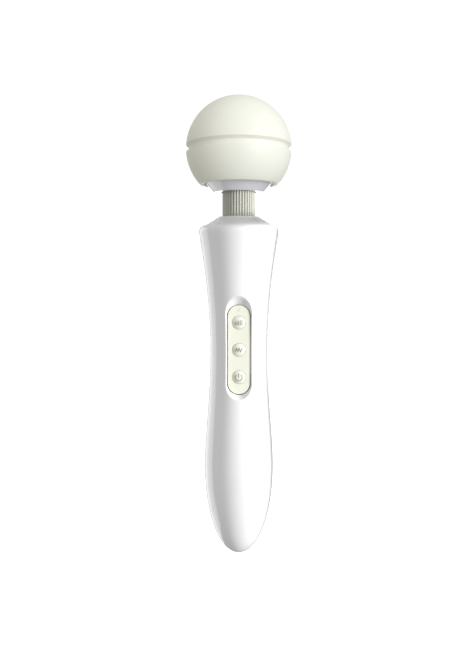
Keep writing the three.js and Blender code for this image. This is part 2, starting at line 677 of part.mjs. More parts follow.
put(neck, "motor_lead_positive", motorLead(1), redWire);
put(neck, "motor_lead_negative", motorLead(-1), blackWire);
put(handle, "battery_lead_positive", lead([
  [2, -2.1, -27.5], [2.4, -1, -30.5], [3.2, 1.6, -34.2], [3.2, 4, -35.9],
], 8), redWire);
put(handle, "battery_lead_negative", lead([
  [-2, -2.1, -27.6], [-3.6, -0.8, -31], [-7.8, 6.2, -36], [-8.4, 6.6, -43], [-8.4, 6.6, -70], [-8.4, 6.6, -98],
  [-7.4, 6.9, -102.8], [-5.6, 6.6, -104.6], [-2.8, 6.2, -104.6],
], 20), blackWire);
put(handle, "charge_lead_positive", lead([
  [3, 11.2, -55.9], [4.2, 11, -53], [6.4, 10.2, -46], [7.2, 6, -36.2], [7, -1, -30.5], [6.6, -2.8, -24],
], 12), redWire);
put(handle, "charge_lead_negative", lead([
  [-3, 11.2, -55.9], [-3.4, 11.4, -53], [-3.6, 11.2, -46], [-5.6, 8, -35], [-7.4, 0, -29.5], [-6.6, -2.8, -24],
], 12), blackWire);

export default wand;
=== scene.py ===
"""Looks of a cordless wand massager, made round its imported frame: metres, +Z up, button panel at -Y."""

import json
import math

import bmesh
import bpy
import numpy as np
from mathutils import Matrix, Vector


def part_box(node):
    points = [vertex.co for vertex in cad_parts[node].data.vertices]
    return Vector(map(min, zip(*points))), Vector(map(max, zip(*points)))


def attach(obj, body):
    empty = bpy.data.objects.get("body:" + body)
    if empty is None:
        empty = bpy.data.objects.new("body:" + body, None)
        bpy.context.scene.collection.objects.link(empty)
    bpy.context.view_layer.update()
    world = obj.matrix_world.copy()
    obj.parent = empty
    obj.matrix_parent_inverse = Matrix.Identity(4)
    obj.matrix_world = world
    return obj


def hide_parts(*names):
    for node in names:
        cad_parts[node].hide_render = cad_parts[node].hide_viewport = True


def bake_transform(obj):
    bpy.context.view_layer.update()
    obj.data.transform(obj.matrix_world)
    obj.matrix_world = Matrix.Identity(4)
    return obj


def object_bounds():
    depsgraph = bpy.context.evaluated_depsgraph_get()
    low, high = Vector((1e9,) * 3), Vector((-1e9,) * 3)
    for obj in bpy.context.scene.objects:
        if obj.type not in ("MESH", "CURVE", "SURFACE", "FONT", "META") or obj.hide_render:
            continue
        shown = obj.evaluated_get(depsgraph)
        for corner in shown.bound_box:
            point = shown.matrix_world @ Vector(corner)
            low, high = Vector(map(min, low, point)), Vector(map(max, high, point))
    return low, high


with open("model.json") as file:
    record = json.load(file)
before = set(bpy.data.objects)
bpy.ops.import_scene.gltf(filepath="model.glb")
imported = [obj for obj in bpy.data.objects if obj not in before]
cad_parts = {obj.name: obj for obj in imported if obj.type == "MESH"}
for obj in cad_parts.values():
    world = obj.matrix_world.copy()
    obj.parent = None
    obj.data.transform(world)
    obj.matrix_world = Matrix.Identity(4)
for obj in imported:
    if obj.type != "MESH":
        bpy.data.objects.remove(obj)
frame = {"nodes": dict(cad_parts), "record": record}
cad_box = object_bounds()
nodes = frame["nodes"]
MM = 0.001  # sizes below are in millimetres, as a drawing's are

# ---------------------------------------------------------------- driving sizes


def span(node, axis):
    """The lowest and highest coordinate of a CAD node along an axis, in mm."""
    low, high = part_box(node)
    return low[axis] / MM, high[axis] / MM


X, Y, Z = 0, 1, 2
TIP_Z, COLLAR_Z = span("handle_shell_front", Z)
HEAD_TOP = span("head_cover", Z)[1]
HEAD_R = 32.2
HEAD_Z = HEAD_TOP - HEAD_R
DISH_Z = span("head_shell_lower", Z)[0]
LIP_R = 20.95
LIP_LOW, LIP_HIGH = 102.35, 103.6
BALL_FOOT = 104.1  # where the cover's lip ends and its ball begins
NECK_LOW, NECK_HIGH = span("neck_sleeve", Z)
NECK_R = 10.0
NECK_HOLE_R = 10.6
PANEL_LOW, PANEL_HIGH = span("button_panel", Z)
PANEL_FRONT, PANEL_BACK = span("button_panel", Y)
PANEL_HALF = span("button_panel", X)[1]
PAD_FACE = span("charge_pad", Y)[1]
PAD_Z = sum(span("charge_pad", Z)) / 2
CASE_WALL = 2.2
PLUG_R = 2.85
PLUG_HOLE_R = 3.05
PAD_R = 6.5
PAD_HOLE_R = 6.8
FLANGE_THICK = 2.3
SPRING_TURNS = 8
SPLIT_Z = 90.0  # the middle of the neck, where its lower and upper pieces meet

# ---------------------------------------------------------------- mesh helpers


def piece(name, points, faces, material):
    """A named object of points in mm, its faces smooth."""
    mesh = bpy.data.meshes.new(name)
    mesh.from_pydata([(x * MM, y * MM, z * MM) for x, y, z in points], [], faces)
    mesh.materials.append(material)
    return placed(name, mesh)


def placed(name, mesh):
    mesh.shade_smooth()
    made = bpy.data.objects.new(name, mesh)
    bpy.context.scene.collection.objects.link(made)
    return made


def close_and_face_out(made, merge=1e-6):
    """Merges doubled points and turns the faces of a closed solid outwards."""
    work = bmesh.new()
    work.from_mesh(made.data)
    bmesh.ops.remove_doubles(work, verts=work.verts, dist=merge)
    bmesh.ops.recalc_face_normals(work, faces=work.faces)
    if work.calc_volume(signed=True) < 0:
        bmesh.ops.reverse_faces(work, faces=work.faces)
    work.to_mesh(made.data)
    work.free()
    return made


def apply_modifiers(made, crease=40):
    """Makes a piece's modifiers real, and keeps its true edges crisp."""
    bpy.context.view_layer.update()
    depsgraph = bpy.context.evaluated_depsgraph_get()
    mesh = bpy.data.meshes.new_from_object(made.evaluated_get(depsgraph))
    made.modifiers.clear()
    made.data = mesh
    mesh.shade_smooth()
    mesh.set_sharp_from_angle(angle=math.radians(crease))
    return made


def walled(made, thickness, edge=0.15):
    """Gives an open skin a wall inwards, and breaks its edges."""
    wall = made.modifiers.new("wall", "SOLIDIFY")
    wall.thickness = thickness * MM
    wall.offset = -1
    return broken(made, edge)


def broken(made, edge):
    """Rounds a piece's edges a little."""
    bevel = made.modifiers.new("broken edges", "BEVEL")
    bevel.width = edge * MM
    bevel.segments = 2
    bevel.limit_method = "ANGLE"
    bevel.angle_limit = math.radians(40)
    bevel.harden_normals = False
    return apply_modifiers(made)


def filleted(corners, steps=5):
    """A line through corners (r, z, fillet), with an arc of that radius at each."""
    line = []
    for i, (r, z, fillet) in enumerate(corners):
        here = np.array((r, z), float)
        if not fillet or i in (0, len(corners) - 1):
            line.append(here)
            continue
        back = np.array(corners[i - 1][:2], float) - here
        on = np.array(corners[i + 1][:2], float) - here
        back /= np.linalg.norm(back)
        on /= np.linalg.norm(on)
        half = math.acos(float(np.clip(back @ on, -1, 1))) / 2
        if half > math.radians(88):
            line.append(here)
            continue
        middle = here + (back + on) / np.linalg.norm(back + on) * fillet / math.sin(half)
        start = here + back * fillet / math.tan(half) - middle
        end = here + on * fillet / math.tan(half) - middle
        turn = math.acos(float(np.clip(start @ end / fillet**2, -1, 1)))
        for k in range(steps + 1):
            t = k / steps
            mix = (math.sin((1 - t) * turn) * start + math.sin(t * turn) * end) / math.sin(turn)
            line.append(middle + mix)
    return [tuple(p) for p in line]


def ball_arc(r, low, high, step=2.5):
    """Points up a ball about the head's centre, from one height to another."""
    a, b = (math.asin(max(-1, min(1, (z - HEAD_Z) / r))) for z in (low, high))
    count = max(2, int(abs(b - a) / math.radians(step)))
    angles = [a + (b - a) * k / count for k in range(count + 1)]
    return [(max(0, r * math.cos(t)), HEAD_Z + r * math.sin(t)) for t in angles]


def turned(name, profile, material, facets=128):
    """A closed profile of (radius, height) turned about Z."""
    return close_and_face_out(piece(name, *turn(profile, facets), material))


def turn(profile, facets):
    angles = [2 * math.pi * i / facets for i in range(facets)]
    points = [(r * math.cos(a), r * math.sin(a), z) for r, z in profile for a in angles]
    faces = []
    for k in range(len(profile) - 1):
        if profile[k][0] < 1e-6 and profile[k + 1][0] < 1e-6:
            continue
        for i in range(facets):
            j = (i + 1) % facets
            faces.append((k * facets + i, k * facets + j, (k + 1) * facets + j, (k + 1) * facets + i))
    return points, faces


def turned_about_y(name, profile, x, z, material, facets=64):
    """A profile of (radius, y) turned about a line along Y through (x, z)."""
    points, faces = turn(profile, facets)
    points = [(x + px, pz, z - py) for px, py, pz in points]
    return close_and_face_out(piece(name, points, faces, material))


def joined(name, *parts):
    """Several meshes as one piece."""
    work = bmesh.new()
    for part in parts:
        work.from_mesh(part.data)
    mesh = bpy.data.meshes.new(name)
    work.to_mesh(mesh)
    work.free()
    for material in parts[0].data.materials:
        mesh.materials.append(material)
    for part in parts:
        bpy.data.objects.remove(part)
    made = placed(name, mesh)
    mesh.set_sharp_from_angle(angle=math.radians(40))
    return made


# ---------------------------------------------------------------- finishes


class Finish:
    """A procedural material on object coordinates, with a Principled surface."""

    def __init__(self, name):
        self.material = bpy.data.materials.new(name)
        self.material.use_nodes = True
        self.tree = self.material.node_tree
        self.surface = self.tree.nodes["Principled BSDF"]
        self.place = self.add("ShaderNodeTexCoord").outputs["Object"]
        self.height = None

    def add(self, kind, **settings):
        node = self.tree.nodes.new(kind)
        for key, value in settings.items():
            setattr(node, key, value)
        return node

    def link(self, output, target):
        self.tree.links.new(output, target)

    def set(self, **values):
        for name, value in values.items():
            self.surface.inputs[name.replace("_", " ")].default_value = value
        return self

    def noise(self, size, detail=3, stretch=(1, 1, 1), roughness=0.5):
        """Noise whose features are about size mm."""
        mapping = self.add("ShaderNodeMapping")
        mapping.inputs["Scale"].default_value = [s / (size * MM) for s in stretch]
        self.link(self.place, mapping.inputs["Vector"])
        noise = self.add("ShaderNodeTexNoise")
        noise.inputs["Scale"].default_value = 1
        noise.inputs["Detail"].default_value = detail
        noise.inputs["Roughness"].default_value = roughness
        self.link(mapping.outputs["Vector"], noise.inputs["Vector"])
        return noise.outputs["Fac"]

    def spread(self, value, low, high, start=0.3, end=0.7):
        """Maps a 0 to 1 pattern onto a range."""
        remap = self.add("ShaderNodeMapRange")
        for name, number in (("From Min", start), ("From Max", end), ("To Min", low), ("To Max", high)):
            remap.inputs[name].default_value = number
        self.link(value, remap.inputs["Value"])
        return remap.outputs["Result"]

    def colours(self, pattern, first, second):
        mix = self.add("ShaderNodeMix", data_type="RGBA")
        mix.inputs["A"].default_value = (*first, 1)
        mix.inputs["B"].default_value = (*second, 1)
        self.link(pattern, mix.inputs["Factor"])
        self.link(mix.outputs["Result"], self.surface.inputs["Base Color"])
        return self

    def rough(self, pattern, low, high):
        self.link(self.spread(pattern, low, high), self.surface.inputs["Roughness"])
        return self

    def bump(self, pattern, height, strength=1.0):
        """Adds relief of that height in mm to whatever relief is there."""
        bump = self.add("ShaderNodeBump")
        bump.inputs["Distance"].default_value = height * MM
        bump.inputs["Strength"].default_value = strength
        self.link(pattern, bump.inputs["Height"])
        if self.height:
            self.link(self.height, bump.inputs["Normal"])
        self.height = bump.outputs["Normal"]
        self.link(self.height, self.surface.inputs["Normal"])
        return self


def shade(colour, factor):
    return tuple(c * factor for c in colour)


def gloss_case(name, colour):
    """Injection-moulded gloss plastic: faint flow marks, fine wipe marks and a wet-looking skin."""
    made = Finish(name)
    made.colours(made.spread(made.noise(34, 3), 0, 1), colour, shade(colour, 0.985))
    made.rough(made.noise(5, 6, (1, 1, 0.12)), 0.13, 0.21)
    made.bump(made.noise(9, 2), 0.012, 0.5)
    made.bump(made.noise(0.5, 2), 0.0006, 0.4)
    made.set(IOR=1.5, Coat_Weight=0.35, Coat_Roughness=0.06)
    return made.material


def soft_silicone(name, colour):
    """Soft-touch silicone: a fine even grain, faint handling marks and a little light carried inside."""
    made = Finish(name)
    made.colours(made.spread(made.noise(18, 4), 0, 1), colour, shade(colour, 0.975))
    made.rough(made.noise(7, 5), 0.40, 0.50)
    made.bump(made.noise(0.45, 3), 0.006, 0.5)
    made.bump(made.noise(14, 2), 0.02, 0.4)
    made.set(IOR=1.42, Sheen_Weight=0.08, Sheen_Roughness=0.5)
    made.set(Subsurface_Weight=0.06, Subsurface_Scale=0.0015, Subsurface_Radius=(1.0, 0.9, 0.7))
    return made.material


def satin_plastic(name, colour, low=0.34, high=0.44):
    """Spark-eroded plastic: a fine satin texture."""
    made = Finish(name)
    made.colours(made.spread(made.noise(12, 4), 0, 1), colour, shade(colour, 0.97))
    made.rough(made.noise(2, 4), low, high)
    made.bump(made.noise(0.28, 2), 0.004, 0.5)
    return made.material


def metal(name, colour, low, high, stretch=(1, 1, 1), relief=0.002):
    """Metal with drawn or turned marks along its stretch."""
    made = Finish(name)
    made.colours(made.spread(made.noise(3, 5, stretch), 0, 1), colour, shade(colour, 0.86))
    made.rough(made.noise(1.2, 5, stretch), low, high)
    made.bump(made.noise(0.6, 4, stretch), relief, 0.6)
    made.set(Metallic=1.0)
    return made.material


def winding_copper(name):
    """Enamelled copper wire, wound in fine turns along the shaft."""
    made = Finish(name)
    turns = made.add("ShaderNodeTexWave", wave_type="BANDS", bands_direction="Z")
    turns.inputs["Scale"].default_value = 420
    turns.inputs["Distortion"].default_value = 0.6
    made.link(made.place, turns.inputs["Vector"])
    made.colours(turns.outputs["Fac"], (0.42, 0.15, 0.05), (0.75, 0.33, 0.13))
    made.rough(made.noise(1, 3), 0.25, 0.4)
    made.bump(turns.outputs["Fac"], 0.08, 0.7)
    made.set(Metallic=1.0)
    return made.material


def solder_mask(name):
    """Green solder mask over copper tracks, which show as paler raised lines."""
    made = Finish(name)
    tracks = made.add("ShaderNodeTexVoronoi", feature="DISTANCE_TO_EDGE")
    tracks.inputs["Scale"].default_value = 260
    made.link(made.place, tracks.inputs["Vector"])
    line = made.spread(tracks.outputs["Distance"], 1, 0, 0.04, 0.08)
    made.colours(line, (0.01, 0.10, 0.035), (0.03, 0.22, 0.08))
    made.rough(made.noise(1.5, 3), 0.28, 0.4)
    made.bump(line, 0.03, 0.5)
    return made.material


def clear_lens(name):
    """A cloudy light pipe, faintly warm against the panel."""
    made = Finish(name)
    made.colours(made.spread(made.noise(0.8, 3), 0, 1), (0.93, 0.86, 0.76), (0.90, 0.87, 0.76))
    made.rough(made.noise(0.5, 3), 0.08, 0.16)
    made.set(IOR=1.49, Transmission_Weight=0.12)
    return made.material


def insulation(name, colour):
    """Wire insulation, with a faint sheen and drawn lines."""
    made = Finish(name)
    made.colours(made.spread(made.noise(1.5, 3, (1, 1, 0.2)), 0, 1), colour, shade(colour, 0.8))
    made.rough(made.noise(0.8, 3), 0.35, 0.5)
    made.bump(made.noise(0.3, 2, (1, 1, 0.2)), 0.004, 0.5)
    return made.material


IVORY = (0.82, 0.82, 0.70)
# The neck's ivory is darker than the ball's: painted shade for the shade that falls between the head and the
# shoulder.
NECK_IVORY_PAINTED_SHADE = (0.50, 0.50, 0.44)
PANEL_IVORY = (0.87, 0.87, 0.71)
# The key caps' ivory is darker than the panel's: painted shade on the domes.
KEY_IVORY_PAINTED_SHADE = (0.78, 0.79, 0.69)
WHITE = (0.84, 0.84, 0.845)
# The dish's white is the case's gloss white darkened: painted shade under the ball.
SHELL_WHITE_PAINTED_SHADE = (0.66, 0.66, 0.67)

FINISHES = {
    "case_white": gloss_case("gloss white case", WHITE),
    "shell_white_painted_shade": gloss_case("gloss head shell with painted shade", SHELL_WHITE_PAINTED_SHADE),
    "inner_white": satin_plastic("inner white plastic", (0.74, 0.74, 0.72)),
    "silicone_ivory": soft_silicone("ivory silicone", IVORY),
    "silicone_neck_painted_shade": soft_silicone("neck silicone with painted shade", NECK_IVORY_PAINTED_SHADE),
    "panel_ivory": satin_plastic("satin ivory keys", PANEL_IVORY, 0.30, 0.38),
    "key_ivory_painted_shade": satin_plastic("satin key caps with painted shade", KEY_IVORY_PAINTED_SHADE, 0.28, 0.36),
    # The symbols' dark grey is painted shade along the raised lines.
    "symbol_painted_shade": satin_plastic("grey painted shade on symbols", (0.26, 0.26, 0.22), 0.42, 0.52),
    "clear_lens": clear_lens("clear light pipe"),
    "screw_steel": metal("bright zinc", (0.62, 0.63, 0.66), 0.2, 0.36),
    "motor_steel": metal("drawn nickel steel", (0.60, 0.60, 0.61), 0.22, 0.36, (1, 1, 0.08)),
    "dark_steel": metal("sintered dark steel", (0.16, 0.165, 0.17), 0.45, 0.62, (1, 1, 1), 0.012),
    "bronze": metal("sintered bronze", (0.48, 0.27, 0.10), 0.38, 0.52, (1, 1, 1), 0.008),
    "gold_contact": metal("gold flash", (0.80, 0.56, 0.20), 0.14, 0.26),
    "winding_copper": winding_copper("enamelled winding"),
    "board_green": solder_mask("green solder mask"),
    "black_plastic": satin_plastic("moulded black", (0.018, 0.018, 0.02), 0.38, 0.52),
    "cell_wrap": satin_plastic("blue cell wrap", (0.03, 0.18, 0.42), 0.24, 0.36),
    "red_wire": insulation("red insulation", (0.42, 0.015, 0.01)),
    "black_wire": insulation("black insulation", (0.012, 0.012, 0.012)),
}


def finish_frame_nodes():
    """Every CAD node takes the finish of its material slot."""
    for row in frame["record"]["subparts"]:
        slots = nodes[row["node"]].data.materials
        slots.clear()
        slots.append(FINISHES[row["material_slot"]])


# ---------------------------------------------------------------- repeats, as node trees


class Tree:
    """A geometry node tree with named sizes."""

    def __init__(self, name, sizes):
        self.group = bpy.data.node_groups.new(name, "GeometryNodeTree")
        face = self.group.interface
        face.new_socket("Geometry", in_out="INPUT", socket_type="NodeSocketGeometry")
        for label, kind in sizes.items():
            face.new_socket(label, in_out="INPUT", socket_type=f"NodeSocket{kind}")
        face.new_socket("Geometry", in_out="OUTPUT", socket_type="NodeSocketGeometry")
        self.start = self.group.nodes.new("NodeGroupInput")
        self.end = self.group.nodes.new("NodeGroupOutput")

    def add(self, kind, inputs=None, **settings):
        node = self.group.nodes.new(kind)
        for key, value in settings.items():
            setattr(node, key, value)
        for key, value in (inputs or {}).items():
            self.feed(value, node.inputs[key])
        return node

    def feed(self, value, socket):
        if isinstance(value, bpy.types.NodeSocket):
            self.group.links.new(value, socket)
        else:
            socket.default_value = value

    def math(self, operation, *values):
        return self.add("ShaderNodeMath", dict(enumerate(values)), operation=operation).outputs[0]

    def size(self, label):
        return self.start.outputs[label]

    def finish(self, geometry):
        real = self.add("GeometryNodeRealizeInstances", {"Geometry": geometry})
        painted = self.add("GeometryNodeSetMaterial", {"Geometry": real.outputs[0]})
        self.feed(self.size("Material"), painted.inputs["Material"])
        self.feed(painted.outputs[0], self.end.inputs[0])


def grown(tree, name, sizes, base=None):
    """Runs a tree with these sizes, and returns its result as a plain mesh object."""
    mesh = base or bpy.data.meshes.new(name)
    made = bpy.data.objects.new(name, mesh)
    bpy.context.scene.collection.objects.link(made)
    modifier = made.modifiers.new("tree", "NODES")
    modifier.node_group = tree.group
    for item in tree.group.interface.items_tree:
        if item.in_out == "INPUT" and item.name in sizes:
            modifier[item.identifier] = sizes[item.name]
    return apply_modifiers(made)


def ribbed_tube_tree():
    """A tube with ribs along it: its radius falls into a narrow groove between each two ribs."""
    tree = Tree("ribbed tube", {
        "Radius": "Float", "Groove": "Float", "Ribs": "Int", "Low": "Float", "High": "Float",
        "Material": "Material",
    })
    around = tree.math("MULTIPLY", tree.size("Ribs"), 12)
    height = tree.math("SUBTRACT", tree.size("High"), tree.size("Low"))
    tube = tree.add("GeometryNodeMeshCylinder", {
        "Vertices": around, "Side Segments": 14, "Radius": tree.size("Radius"), "Depth": height,
    }, fill_type="NONE")
    place = tree.add("ShaderNodeSeparateXYZ", {0: tree.add("GeometryNodeInputPosition").outputs[0]})
    angle = tree.math("ARCTAN2", place.outputs["Y"], place.outputs["X"])
    wave = tree.math("COSINE", tree.math("MULTIPLY", angle, tree.size("Ribs")))
    valley = tree.math("POWER", tree.math("MULTIPLY_ADD", wave, 0.5, 0.5), 2.2)
    radius = tree.math("SUBTRACT", tree.size("Radius"), tree.math("MULTIPLY", valley, tree.size("Groove")))
    scale = tree.math("DIVIDE", radius, tree.size("Radius"))
    middle = tree.math("MULTIPLY", tree.math("ADD", tree.size("Low"), tree.size("High")), 0.5)
    moved = tree.add("ShaderNodeCombineXYZ", {
        "X": tree.math("MULTIPLY", place.outputs["X"], scale),
        "Y": tree.math("MULTIPLY", place.outputs["Y"], scale),
        "Z": tree.math("ADD", place.outputs["Z"], middle),
    })
    inputs = {"Geometry": tube.outputs["Mesh"], "Position": moved.outputs[0]}
    ribs = tree.add("GeometryNodeSetPosition", inputs)
    tree.finish(ribs.outputs[0])
    return tree


def coil_tree():
    """A round wire wound into a coil spring."""
    tree = Tree("coil", {
        "Radius": "Float", "Wire": "Float", "Turns": "Float", "Low": "Float", "High": "Float",
        "Material": "Material",
    })
    coil = tree.add("GeometryNodeCurveSpiral", {
        "Resolution": 40, "Rotations": tree.size("Turns"), "Start Radius": tree.size("Radius"),
        "End Radius": tree.size("Radius"),
        "Height": tree.math("SUBTRACT", tree.size("High"), tree.size("Low")),
    })
    lift = tree.add("ShaderNodeCombineXYZ", {"Z": tree.size("Low")})
    lifted = tree.add("GeometryNodeTransform", {"Geometry": coil.outputs[0], "Translation": lift.outputs[0]})
    section = tree.add("GeometryNodeCurvePrimitiveCircle", {"Resolution": 10, "Radius": tree.size("Wire")})
    wound = tree.add("GeometryNodeCurveToMesh", {
        "Curve": lifted.outputs[0], "Profile Curve": section.outputs[0], "Fill Caps": True,
    })
    tree.finish(wound.outputs[0])
    return tree


def swept_line_tree():
    """A round line that follows the edges of a mesh, for raised symbols and leads."""
    tree = Tree("swept line", {"Radius": "Float", "Material": "Material"})
    path = tree.add("GeometryNodeMeshToCurve", {"Mesh": tree.size("Geometry")})
    section = tree.add("GeometryNodeCurvePrimitiveCircle", {"Resolution": 10, "Radius": tree.size("Radius")})
    line = tree.add("GeometryNodeCurveToMesh", {
        "Curve": path.outputs[0], "Profile Curve": section.outputs[0], "Fill Caps": True,
    })
    tree.finish(line.outputs[0])
    return tree


def polyline(name, lines):
    """A mesh of edges only, along each list of points in mm."""
    points, edges = [], []
    for line in lines:
        edges += [(len(points) + i, len(points) + i + 1) for i in range(len(line) - 1)]
        points += [(x * MM, y * MM, z * MM) for x, y, z in line]
    mesh = bpy.data.meshes.new(name)
    mesh.from_pydata(points, edges, [])
    return mesh


# ---------------------------------------------------------------- handle shells


def bezier(points, count):
    t = np.linspace(0, 1, count + 1)[:, None]
    a, b, c, d = (np.array(p, float) for p in points)
    return (1 - t) ** 3 * a + 3 * (1 - t) ** 2 * t * b + 3 * (1 - t) * t**2 * c + t**3 * d


def handle_outline(spacing=1.15):
    """Radius and height up the handle, evenly spaced, from the tip to the lip round the neck."""
    belly, waist, shoulder, cone_foot = (20.75, -68.5), (17.6, 0), (24.35, 72.5), (22.2, 77.3)
    dense = [
        bezier([(0, TIP_Z), (12.5, TIP_Z), (20.75, -96.5), belly], 300),
        bezier([belly, (20.75, -50), (17.6, -32), waist], 300),
        bezier([waist, (17.6, 26), (20.27, 48.5), shoulder], 300),
        bezier([shoulder, (24.7, 74.7), (24.2, 76.2), cone_foot], 60),
    ]
    top = filleted([
        (*cone_foot, 0), (13.4, COLLAR_Z, 0.7), (NECK_HOLE_R, COLLAR_Z, 0.45), (NECK_HOLE_R, 80.5, 0),
    ], 6)
    line = np.vstack(dense)
    gaps = np.linalg.norm(np.diff(line, axis=0), axis=1)
    along = np.concatenate([[0], np.cumsum(gaps)])
    keep = np.concatenate([[True], gaps > 1e-9])
    line, along = line[keep], along[keep]
    count = int(along[-1] / spacing)
    even = np.linspace(0, along[-1], count + 1)
    lower = [(float(np.interp(s, along, line[:, 0])), float(np.interp(s, along, line[:, 1]))) for s in even]
    foot_r, foot_z = cone_foot
    rise_r, rise_z = (top[1][0] - foot_r) / 8, (top[1][1] - foot_z) / 8
    cone = [(foot_r + rise_r * k, foot_z + rise_z * k) for k in range(1, 8)]
    return lower, cone + top[1:-1]


BODY_LINE, TOP_LINE = handle_outline()
BODY_R = [r for r, z in BODY_LINE]
BODY_Z = [z for r, z in BODY_LINE]


def case_skin(x, z):
    """How far in front of the axis the handle's skin is at (x, z), on the side that faces -Y."""
    r = np.interp(z, BODY_Z, BODY_R)
    return -np.sqrt(np.maximum(r**2 - np.asarray(x) ** 2, 0))


class Track:
    """A racetrack outline about x = middle, from low to high. A circle has high - low equal to its width."""

    def __init__(self, half, low, high, middle=0.0):
        self.half, self.low, self.high, self.middle = half, low, high, middle

    def grown(self, by):
        return Track(self.half + by, self.low - by, self.high + by, self.middle)

    def spine(self, z):
        return np.clip(z, self.low + self.half, max(self.low + self.half, self.high - self.half))

    def distance(self, x, z):
        return np.hypot(np.asarray(x) - self.middle, z - self.spine(z)) - self.half

    def outline(self, steps=24):
        arc = [math.pi * k / steps for k in range(steps + 1)]
        bow = [(self.half * math.cos(a), self.half * math.sin(a)) for a in arc]
        top = [(self.middle + x, self.high - self.half + z) for x, z in bow]
        low = [(self.middle - x, self.low + self.half - z) for x, z in bow]
        return top + low if self.high - self.low > 2 * self.half + 1e-6 else top[:-1] + low[:-1]


def circle(r, x, z):
    return Track(r, z - r, z + r, x)


PANEL = Track(PANEL_HALF - 0.3, PANEL_LOW + 0.15, PANEL_HIGH - 0.15)
LEDGE = PANEL.grown(0.3)
OPENING = Track(PANEL_HALF + 0.4, PANEL_LOW - 0.4, PANEL_HIGH + 0.4)
FLOOR = OPENING.grown(0.05)
MOUTH = Track(8.6, -26.3, 36.1)
MOUTH_OUT = -20.0
RIM_BLEND = 0.55


def recess_wall(x, z):
    """Where the recess's sloping wall is at (x, z): it opens from FLOOR at the panel to MOUTH further out."""
    x, z = np.asarray(x, float), np.asarray(z, float)
    near, far = np.zeros_like(x), np.full_like(x, 1.6)
    for _ in range(24):
        middle = (near + far) / 2
        half = FLOOR.half + (MOUTH.half - FLOOR.half) * middle
        low = FLOOR.low + (MOUTH.low - FLOOR.low) * middle + half
        high = FLOOR.high + (MOUTH.high - FLOOR.high) * middle - half
        outside = np.hypot(x, z - np.clip(z, low, high)) > half
        near, far = np.where(outside, middle, near), np.where(outside, far, middle)
    return PANEL_FRONT + (MOUTH_OUT - PANEL_FRONT) * (near + far) / 2


def smooth_max(a, b, k):
    """The larger of two, blended over k where they cross."""
    h = np.maximum(k - np.abs(a - b), 0) / k
    return np.maximum(a, b) + h * h * k / 4


def recessed_skin(x, z):
    """The handle's skin with the recess in it, its rim softly rounded."""
    return smooth_max(case_skin(x, z), recess_wall(x, z), RIM_BLEND)


def half_shell(name, side, cuts, material):
    """Half of the handle, with side -1 facing -Y and 1 facing +Y.
    Each cut is an opening, how far round it the mesh follows it, its skin, and how many rings that takes."""
    seam = math.radians(0.14)
    columns, line = 64, BODY_LINE + TOP_LINE
    angles = np.linspace(-math.pi / 2 + seam, math.pi / 2 - seam, columns + 1)
    points, faces, taken, index = [], [], set(), {}

    def corner(i, j):
        if j == 0:
            i = 0
        if (i, j) not in index:
            r, z = line[j]
            index[i, j] = len(points)
            points.append((r * math.sin(angles[i]), -r * math.cos(angles[i]), z))
        return index[i, j]

    for opening, margin, skin, rings in cuts:
        around = opening.grown(margin)
        rows = [j for j, (r, z) in enumerate(BODY_LINE) if around.low <= z <= around.high]
        j0, j1 = rows[0] - 1, rows[-1] + 1
        r = np.interp((around.low + around.high) / 2, BODY_Z, BODY_R)
        left, right = (math.asin(max(-1, min(1, (opening.middle + s * around.half) / r))) for s in (-1, 1))
        i0 = int(np.searchsorted(angles, left)) - 1
        i1 = int(np.searchsorted(angles, right))
        taken |= {(i, j) for i in range(i0, i1) for j in range(j0, j1)}
        loop = [(i, j0) for i in range(i0, i1)] + [(i1, j) for j in range(j0, j1)]
        loop += [(i, j1) for i in range(i1, i0, -1)] + [(i0, j) for j in range(j1, j0, -1)]
        outer = [corner(i, j) for i, j in loop]
        x = np.array([points[n][0] for n in outer])
        z = np.array([points[n][2] for n in outer])
        spine = opening.spine(z)
        reach = np.hypot(x - opening.middle, z - spine)
        ringed = [outer]
        for k in range(rings - 1, -1, -1):
            share = (opening.half + (reach - opening.half) * (k / rings) ** 1.6) / reach
            rx, rz = opening.middle + (x - opening.middle) * share, spine + (z - spine) * share
            blend = min(1.0, (rings - k) / 4)
            ry = skin(rx, rz) * blend + case_skin(rx, rz) * (1 - blend)
            start = len(points)
            points += list(zip(rx.tolist(), ry.tolist(), rz.tolist()))
            ringed.append(list(range(start, start + len(outer))))
        for out, inn in zip(ringed, ringed[1:]):
            for n in range(len(out)):
                m = (n + 1) % len(out)
                faces.append((inn[n], out[n], out[m], inn[m]))
    for j in range(len(line) - 1):
        for i in range(columns):
            if (i, j) in taken:
                continue
            if j == 0:
                faces.append((corner(0, 0), corner(i + 1, 1), corner(i, 1)))
            else:
                faces.append((corner(i, j), corner(i + 1, j), corner(i + 1, j + 1), corner(i, j + 1)))
    turned_points = [(-side * x, -side * y, z) for x, y, z in points]
    return walled(piece(name, turned_points, faces, material), CASE_WALL)


def plug_cap(name, x, z, material):
    """A plug whose face continues the rear shell's skin."""
    points, faces, around, rings = [(x, -float(case_skin(x, z)), z)], [], 48, 5
    for k in range(1, rings + 1):
        r = PLUG_R * k / rings
        for i in range(around):
            a = 2 * math.pi * i / around
            px, pz = x + r * math.cos(a), z + r * math.sin(a)
            points.append((px, -float(case_skin(px, pz)), pz))
    for i in range(around):
        j = (i + 1) % around
        faces.append((0, 1 + j, 1 + i))
        for k in range(rings - 1):
            a, b = 1 + k * around, 1 + (k + 1) * around
            faces.append((a + i, a + j, b + j, b + i))
    return walled(piece(name, points, faces, material), 3.0, 0.18)


# ---------------------------------------------------------------- panel and keys


def rounded_edge(edge, front, back, steps=5):
    """A plate's side and rounded front edge, as inset and y, with a narrow flat strip inside it."""
    angles = [math.pi / 2 * k / steps for k in range(steps + 1)]
    arc_points = [(edge * (1 - math.cos(a)), front + edge * (1 - math.sin(a))) for a in angles]
    return [(0, back), *arc_points, (edge + 0.06, front)]


